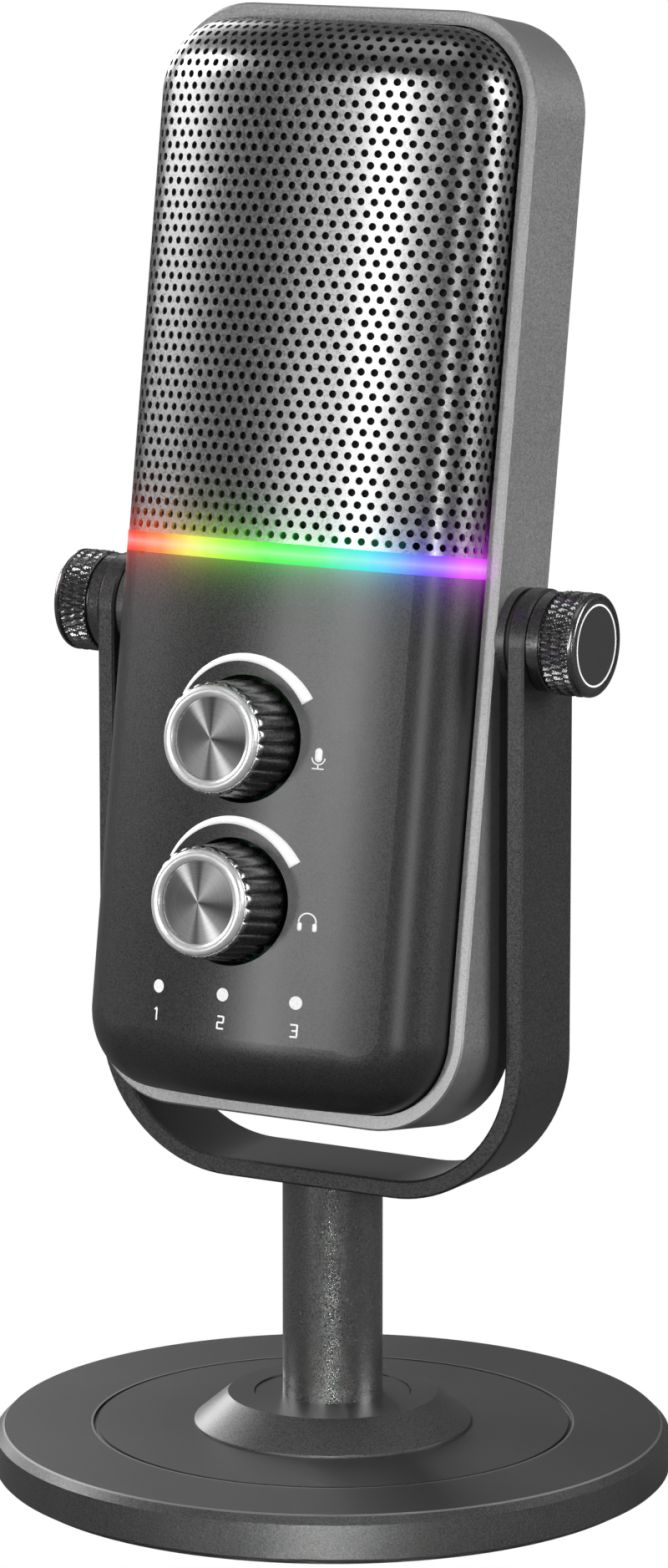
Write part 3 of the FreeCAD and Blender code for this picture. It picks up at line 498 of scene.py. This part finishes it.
def lit_strip():
    n = Nodes("lit_strip")
    middle = (STRIP_LOW + STRIP_HIGH) / 2 * MM
    half = (STRIP_HIGH - STRIP_LOW) / 2 * MM
    away = n.math("ABSOLUTE", n.math("SUBTRACT", body_height(n, False), middle))
    core = n.math("SUBTRACT", 1.0, n.math("DIVIDE", away, half), clamp=True)
    mix = n.add("ShaderNodeMix", data_type="RGBA")
    n.link(n.math("MULTIPLY", n.math("POWER", core, 1.5), 0.24), mix.inputs["Factor"])
    n.link(rainbow(n), mix.inputs["A"])
    mix.inputs["B"].default_value = WHITE
    haze = n.noise(1 / 0.004, 2.0)
    body = n.add("ShaderNodeVectorMath", operation="SCALE")
    n.link(mix.outputs["Result"], body.inputs[0])
    body.inputs["Scale"].default_value = 0.15
    n.set(
        color=body.outputs["Vector"],
        roughness=0.5,
        specular=0.2,
        emission=mix.outputs["Result"],
        emission_strength=n.remap(haze, 0.92, 1.05),
    )
    return n.mat


def lamp_lens():
    n = Nodes("lamp_lens")
    fine = n.noise(1 / 0.0005)
    n.set(
        color=n.grey(fine, 0.72, 0.80),
        roughness=0.35,
        emission=WHITE,
        emission_strength=n.remap(fine, 0.12, 0.16),
    )
    return n.mat


rim_metal, face_metal, knob_metal = bright_rim(), spun_face_painted_sheen(), knob_barrel()
strip_light, lens = lit_strip(), lamp_lens()

LOOKS = {
    base_metal: ["base_disc"],
    stand_metal: ["collar", "swivel_ring", "hinge_spacers"],
    post_metal_painted_lighter: ["post"],
    yoke_metal: ["yoke"],
    frame_metal: ["frame_band"],
    cover_metal: ["front_cover"],
    rear_cover_metal: ["rear_cover"],
    grille_metal: ["front_grille"],
    rear_grille_metal: ["rear_grille"],
    foam_dark: ["front_foam", "rear_foam"],
    rubber: ["foot_pad", "capsule_cup"],
    steel: [
        "base_weight", "weight_screws", "pivot_washer", "pivot_bolt", "chassis_screws",
        "control_screws", "main_screws", "gain_shaft", "volume_shaft", "thumb_screw_left",
        "thumb_screw_right", "usb_socket",
    ],
    brass: ["control_pillars", "main_pillars", "thread_inserts"],
    board: ["control_board", "main_board", "strip_board"],
    moulded: [
        "chassis_plate", "gain_pot", "volume_pot", "headphone_jack", "mode_switch",
        "mode_button", "capsule_bracket", "friction_washers",
    ],
    capsule_metal: ["capsule"],
    knob_metal: ["gain_knob", "volume_knob"],
    rim_metal: ["gain_rim", "volume_rim"],
    face_metal: ["gain_face", "volume_face"],
    thumb_metal: ["thumb_knob_left", "thumb_knob_right"],
    cap_black: ["thumb_cap_left", "thumb_cap_right"],
    strip_light: ["light_strip"],
    lens: ["light_pipes"],
}
for look, names in LOOKS.items():
    for name in names:
        data = NODES[name].data
        if not data.materials:
            data.materials.append(look)
        for i in range(len(data.materials)):
            data.materials[i] = look


# ------------------------------------------------------------------ perforated grilles
PITCH = 2.17
HOLE = 0.62


def perforated(name, node, side, lowest):
    """A sheet of hexagonal cells, each with a round hole, wrapped over the dome."""
    rows = PITCH * math.sqrt(3) / 2
    first = lowest + 1.25
    corner = PITCH / math.sqrt(3)
    angles = np.radians(30.0 * np.arange(12))
    reach = np.where(np.arange(12) % 2 == 1, corner, PITCH / 2)
    rim = np.stack([np.cos(angles) * reach, np.sin(angles) * reach], 1)
    hole = np.stack([np.cos(angles), np.sin(angles)], 1) * HOLE
    centres = []
    for row in range(-1, 62):
        for column in range(-24, 25):
            centres.append(((column + 0.5 * (row % 2)) * PITCH, first + row * rows))
    centres = np.array(centres)
    place, _ = dome(centres, -1)
    on_sheet = place[:, 1] < -FOOT + 2.5
    centres, place = centres[on_sheet], place[on_sheet]
    open_cell = (place[:, 1] < -FRAME_HALF_DEPTH + 1.2) & (centres[:, 1] > lowest + 0.9)

    points, faces, index = [], [], {}

    def vertex(p):
        key = (round(p[0] * 500), round(p[1] * 500))
        if key not in index:
            index[key] = len(points)
            points.append(p)
        return index[key]

    for c, cut in zip(centres, open_cell):
        outer = [vertex(c + r) for r in rim]
        if cut:
            ring = [vertex(c + h) for h in hole]
            for k in range(12):
                m = (k + 1) % 12
                faces.append((outer[k], outer[m], ring[m], ring[k]))
        else:
            faces.append(tuple(outer))
    surface, _ = dome(np.array(points), side, lift=-0.12)
    mesh = mesh_from(name, surface * MM, faces)
    bm = bmesh.new()
    bm.from_mesh(mesh)
    everything = bm.verts[:] + bm.edges[:] + bm.faces[:]
    bmesh.ops.bisect_plane(
        bm, geom=everything, plane_co=(0, 0, lowest * MM), plane_no=(0, 0, 1), clear_inner=True
    )
    everything = bm.verts[:] + bm.edges[:] + bm.faces[:]
    bmesh.ops.bisect_plane(
        bm,
        geom=everything,
        plane_co=(0, side * FOOT * MM, 0),
        plane_no=(0, side, 0),
        clear_inner=True,
    )
    bmesh.ops.recalc_face_normals(bm, faces=bm.faces)
    outward = sum(f.normal.y * f.calc_area() for f in bm.faces) * side
    if outward < 0:
        bmesh.ops.reverse_faces(bm, faces=bm.faces)
    bm.to_mesh(mesh)
    bm.free()
    steel_sheet = grille_metal if side < 0 else rear_grille_metal
    obj = new_object(name, mesh, steel_sheet, BODY, smooth=30.0)
    wall = obj.modifiers.new("wall", "SOLIDIFY")
    wall.thickness = 0.5 * MM
    wall.offset = -1.0
    crisp = obj.modifiers.new("crisp", "EDGE_SPLIT")
    crisp.split_angle = math.radians(35)
    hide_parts(node)
    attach(obj, "microphone")


perforated("front_grille_sheet", "front_grille", -1, STRIP_HIGH)
perforated("rear_grille_sheet", "rear_grille", 1, STRIP_LOW)


# ------------------------------------------------------------------ control knobs
OUT = (BODY.to_3x3() @ Vector((0, -1, 0))).normalized()


def control_knob(prefix):
    low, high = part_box(f"{prefix}_face")
    centre_world = (low + high) / 2
    local = INTO_BODY @ centre_world
    height = local.z
    axis = axis_frame(BODY @ Vector((0, 0, height)), OUT)
    lobes, steps = 24, 10
    profile = [(24.2, 9.2), (24.5, 9.5)]
    profile += [(24.5 + 10.15 * i / steps, 9.5 - 0.65 * i / steps) for i in range(1, steps + 1)]
    profile += [(34.9, 8.6), (34.9, 8.3), (33.5, 8.3)]

    def scallop(angle, i, r):
        wave = abs(math.sin(lobes * angle / 2)) ** 0.45
        depth = 0.6 - 0.2 * (profile[i][0] - 24.2) / 10.7
        return r - depth * (1 - wave) if r > 8.8 else r - (0.15 if r > 8.5 else 0.0) * (1 - wave)

    mesh = lathe(f"{prefix}_barrel", profile, lobes * 12, scallop)
    barrel = new_object(f"{prefix}_barrel", mesh, knob_metal, axis, smooth=50)
    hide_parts(f"{prefix}_knob")
    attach(barrel, f"{prefix}_knob")

    rim_profile = [
        (33.5, FACE_RADIUS), (35.3, FACE_RADIUS), (35.62, 6.55), (35.9, 6.85), (36.05, 7.25),
        (36.05, 7.6), (35.98, 7.9), (35.8, 8.13), (35.5, 8.3), (33.5, 8.3),
    ]
    rim = new_object(
        f"{prefix}_ring", lathe(f"{prefix}_ring", rim_profile, 144, closed=False), rim_metal, axis
    )
    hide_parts(f"{prefix}_rim")
    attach(rim, f"{prefix}_knob")

    face_profile = [
        (35.1 + 0.2 * (1 - r / FACE_RADIUS), r) for r in (FACE_RADIUS, 5.0, 3.5, 1.8, 0.5)
    ]
    face = new_object(
        f"{prefix}_disc", lathe(f"{prefix}_disc", face_profile, 144), face_metal, axis, smooth=60
    )
    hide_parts(f"{prefix}_face")
    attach(face, f"{prefix}_knob")


control_knob("gain")
control_knob("volume")


# ------------------------------------------------------------------ knurled thumb knobs
def thumb_knob(name, side):
    axis = axis_frame(HINGE, (side, 0, 0), up=(0, 0, 1))
    teeth, depth = 46, 0.42
    profile = [(39.25, 7.75), (39.45, 7.95), (41.3, 7.95), (41.4, 7.85), (41.42, 7.6), (41.75, 7.6)]
    profile += [(41.78, 7.9), (41.9, 8.1)]
    start = len(profile)
    steps = 40
    profile += [(41.95 + 4.75 * i / steps, 8.25) for i in range(steps + 1)]
    end = len(profile)
    profile += [(46.95, 8.22), (47.25, 8.2), (47.5, 8.1), (47.7, 7.92), (47.8, 7.65)]
    profile += [(47.8, 7.1), (47.0, 7.1)]

    def knurl(angle, i, r):
        if not start <= i < end:
            return r
        along = profile[i][0] - profile[start][0]
        turns = teeth * angle / (2 * math.pi)
        slant = along / 3.7
        a = abs(((turns + slant) % 1.0) - 0.5) * 2
        b = abs(((turns - slant) % 1.0) - 0.5) * 2
        edge = min(1.0, (i - start) / 2, (end - 1 - i) / 2)
        return r - depth * (1 - edge * min(1.0, 1.25 * min(a, b)))

    return new_object(name, lathe(name, profile, teeth * 8, knurl), thumb_metal, axis)


for side, word in ((-1, "left"), (1, "right")):
    knob = thumb_knob(f"thumb_grip_{word}", side)
    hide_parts(f"thumb_knob_{word}")
    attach(knob, f"thumb_{word}")
    ring_profile = [(47.69, 6.25), (47.76, 6.25), (47.76, 6.55), (47.69, 6.55)]
    ring = new_object(
        f"thumb_ring_{word}",
        lathe(f"thumb_ring_{word}", ring_profile, 120, closed=False),
        print_white_painted_glow,
        axis_frame(HINGE, (side, 0, 0), up=(0, 0, 1)),
    )
    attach(ring, f"thumb_{word}")


# ------------------------------------------------------------------ white marks on the front cover
def skin_y(x):
    return ARC - RISE - math.sqrt(ARC * ARC - x * x)


def mark(name, outlines):
    """Thin white paint on the front: each outline is a strip of (x, z) pairs, edge to edge."""
    verts, faces = [], []
    for pairs in outlines:
        first = len(verts)
        for one, two in pairs:
            for x, z in (one, two):
                verts.append((x * MM, (skin_y(x) - 0.03) * MM, z * MM))
        for i in range(len(pairs) - 1):
            a = first + 2 * i
            faces.append((a, a + 1, a + 3, a + 2))
    mesh = mesh_from(name, verts, faces)
    bm = bmesh.new()
    bm.from_mesh(mesh)
    bmesh.ops.recalc_face_normals(bm, faces=bm.faces)
    if sum(f.normal.y for f in bm.faces) > 0:
        bmesh.ops.reverse_faces(bm, faces=bm.faces)
    bm.to_mesh(mesh)
    bm.free()
    obj = new_object(name, mesh, print_white_painted_glow, BODY)
    paint = obj.modifiers.new("paint", "SOLIDIFY")
    paint.thickness = 0.03 * MM
    paint.offset = -1.0
    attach(obj, "microphone")


def arc_strip(cx, cz, start, end, outer, inner, steps=48):
    """Pairs along an arc; angles in degrees clockwise from straight up; radii may be functions."""
    pairs = []
    for i in range(steps + 1):
        u = i / steps
        a = math.radians(start + (end - start) * u)
        ro = outer(u) if callable(outer) else outer
        ri = inner(u) if callable(inner) else inner
        sine, cosine = math.sin(a), math.cos(a)
        pairs.append(((cx + ro * sine, cz + ro * cosine), (cx + ri * sine, cz + ri * cosine)))
    return pairs


def bar(x0, z0, x1, z1, width):
    """A straight stroke of the given width."""
    dx, dz = x1 - x0, z1 - z0
    length = math.hypot(dx, dz)
    nx, nz = -dz / length * width / 2, dx / length * width / 2
    steps = 6
    pairs = []
    for i in range(steps + 1):
        u = i / steps
        x, z = x0 + dx * u, z0 + dz * u
        pairs.append(((x + nx, z + nz), (x - nx, z - nz)))
    return pairs


def pill(cx, z0, z1, r):
    """A filled upright capsule shape."""
    pairs = []
    steps = 10
    for i in range(steps + 1):
        a = math.pi / 2 * (1 - i / steps)
        half, z = r * math.cos(a), z1 - r + r * math.sin(a)
        pairs.append(((cx - half, z), (cx + half, z)))
    for i in range(steps + 1):
        a = math.pi / 2 * i / steps
        half, z = r * math.cos(a), z0 + r - r * math.sin(a)
        pairs.append(((cx - half, z), (cx + half, z)))
    return pairs


GAIN_Z = (INTO_BODY @ GAIN).z / MM
VOLUME_Z = (INTO_BODY @ VOLUME).z / MM
for word, z in (("gain", GAIN_Z), ("volume", VOLUME_Z)):
    mark(
        f"{word}_scale",
        [arc_strip(0, z - 0.45, -62, 56, 13.9, lambda u: 13.45 - 1.6 * u, 64)],
    )


def microphone_sign(cx, cz):
    return [
        pill(cx, cz - 0.55, cz + 1.65, 0.58),
        arc_strip(cx, cz + 0.1, 90, 270, 1.12, 0.92, 24),
        bar(cx, cz - 0.95, cx, cz - 1.6, 0.2),
        bar(cx - 0.95, cz - 1.6, cx + 0.95, cz - 1.6, 0.2),
    ]


def headphone_sign(cx, cz):
    return [
        arc_strip(cx, cz + 0.05, -95, 95, 1.5, 1.27, 30),
        pill(cx - 1.2, cz - 1.4, cz - 0.05, 0.36),
        pill(cx + 1.2, cz - 1.4, cz - 0.05, 0.36),
    ]


mark("microphone_sign", microphone_sign(13.15, GAIN_Z - 1.95))
mark("headphone_sign", headphone_sign(13.4, VOLUME_Z - 2.0))

DIGITS = {
    "1": [((-0.45, 0.65), (0.0, 1.0)), ((0.0, 1.0), (0.0, -1.0))],
    "2": [((-0.55, 0.95), (0.55, 0.95)), ((0.55, 1.0), (0.55, 0.0)), ((0.55, 0.0), (-0.55, 0.0)),
          ((-0.55, 0.05), (-0.55, -1.0)), ((-0.6, -0.95), (0.6, -0.95))],
    "3": [((-0.55, 0.95), (0.55, 0.95)), ((0.55, 1.0), (0.55, -1.0)), ((-0.3, 0.0), (0.55, 0.0)),
          ((-0.55, -0.95), (0.55, -0.95))],
}
LAMP_Z = (INTO_BODY @ centre("light_pipes")).z / MM
for i, digit in enumerate("123"):
    cx, cz = (i - 1) * 12.55, LAMP_Z - 4.4
    strokes = [bar(cx + a[0], cz + a[1], cx + b[0], cz + b[1], 0.28) for a, b in DIGITS[digit]]
    mark(f"lamp_number_{digit}", strokes)


# ------------------------------------------------------------------ studio
def emission_floor():
    """Pale floor: bright where it is seen, softer where it is mirrored."""
    n = Nodes("studio_floor")
    fine = n.noise(30.0)
    n.set(color=n.grey(fine, 0.13, 0.15), roughness=0.9, specular=0.1)
    path = n.add("ShaderNodeLightPath")
    glow = n.add("ShaderNodeEmission")
    glow.inputs["Color"].default_value = WHITE
    glow.inputs["Strength"].default_value = 1.0
    mix = n.add("ShaderNodeMixShader")
    n.link(path.outputs["Is Camera Ray"], mix.inputs[0])
    n.link(n.shader.outputs[0], mix.inputs[1])
    n.link(glow.outputs[0], mix.inputs[2])
    n.link(mix.outputs[0], n.output.inputs["Surface"])
    return n.mat


floor_mesh = mesh_from(
    "floor", [(-15, -15, 0), (15, -15, 0), (15, 15, 0), (-15, 15, 0)], [(0, 1, 2, 3)]
)
floor = new_object("floor", floor_mesh, emission_floor())
floor.location.z = -0.0002

world = bpy.data.worlds.new("studio")
bpy.context.scene.world = world
world.use_nodes = True
background = world.node_tree.nodes["Background"]
background.inputs["Color"].default_value = WHITE
path = world.node_tree.nodes.new("ShaderNodeLightPath")
level = world.node_tree.nodes.new("ShaderNodeMapRange")
level.inputs["To Min"].default_value = 0.17
level.inputs["To Max"].default_value = 1.0
world.node_tree.links.new(path.outputs["Is Camera Ray"], level.inputs["Value"])
world.node_tree.links.new(level.outputs["Result"], background.inputs["Strength"])


def softbox(
    name, azimuth, elevation, distance, width, height, watts, aim=(0, 0, 0.12), spread=180
):
    """A rectangular light on a sphere round the object, facing it; angles in degrees."""
    a, e = math.radians(azimuth), math.radians(elevation)
    back = Vector((math.sin(a) * math.cos(e), -math.cos(a) * math.cos(e), math.sin(e)))
    light = bpy.data.lights.new(name, "AREA")
    light.shape = "RECTANGLE"
    light.size, light.size_y = width, height
    light.energy = watts
    light.spread = math.radians(spread)
    obj = bpy.data.objects.new(name, light)
    bpy.context.scene.collection.objects.link(obj)
    obj.location = Vector(aim) + back * distance
    obj.rotation_mode = "QUATERNION"
    obj.rotation_quaternion = (-back).to_track_quat("-Z", "Y")


softbox("front_key", 4, 17, 1.5, 0.28, 0.8, 9.2)
softbox("low_left", -16, 2, 1.4, 0.10, 0.2, 3.5)
softbox("left_side", -78, 22, 1.5, 0.6, 0.7, 15.0)
softbox("left_rear", -125, 20, 1.5, 0.7, 0.7, 10.0)
softbox("right_side", 112, 18, 1.5, 0.7, 0.7, 18.0)
softbox("post_line", 54, 6, 1.4, 0.05, 0.3, 2.4, aim=(0, 0, 0.05))
softbox("base_light", 28, 1, 0.8, 0.10, 0.02, 0.02, aim=(0, 0, 0), spread=8)
softbox("overhead", 10, 84, 1.4, 0.9, 0.9, 2.6)

# ------------------------------------------------------------------ camera
AZIMUTH, ELEVATION, DISTANCE = math.radians(30.18), math.radians(10.49), 1.0707
back = Vector(
    (
        math.sin(AZIMUTH) * math.cos(ELEVATION),
        -math.cos(AZIMUTH) * math.cos(ELEVATION),
        math.sin(ELEVATION),
    )
)
right = Vector((math.cos(AZIMUTH), math.sin(AZIMUTH), 0))
target = right * 0.00022 + Vector((0, 0, 0.1138))
camera_data = bpy.data.cameras.new("camera")
camera_data.sensor_width = 36.0
camera_data.lens = 7985.2 / 1877 * 36.0
camera_data.clip_start, camera_data.clip_end = 0.05, 60.0
camera = bpy.data.objects.new("camera", camera_data)
bpy.context.scene.collection.objects.link(camera)
camera.location = target + back * DISTANCE
camera.rotation_mode = "QUATERNION"
camera.rotation_quaternion = (-back).to_track_quat("-Z", "Y")
bpy.context.scene.camera = camera
bpy.context.scene.view_settings.view_transform = "Standard"
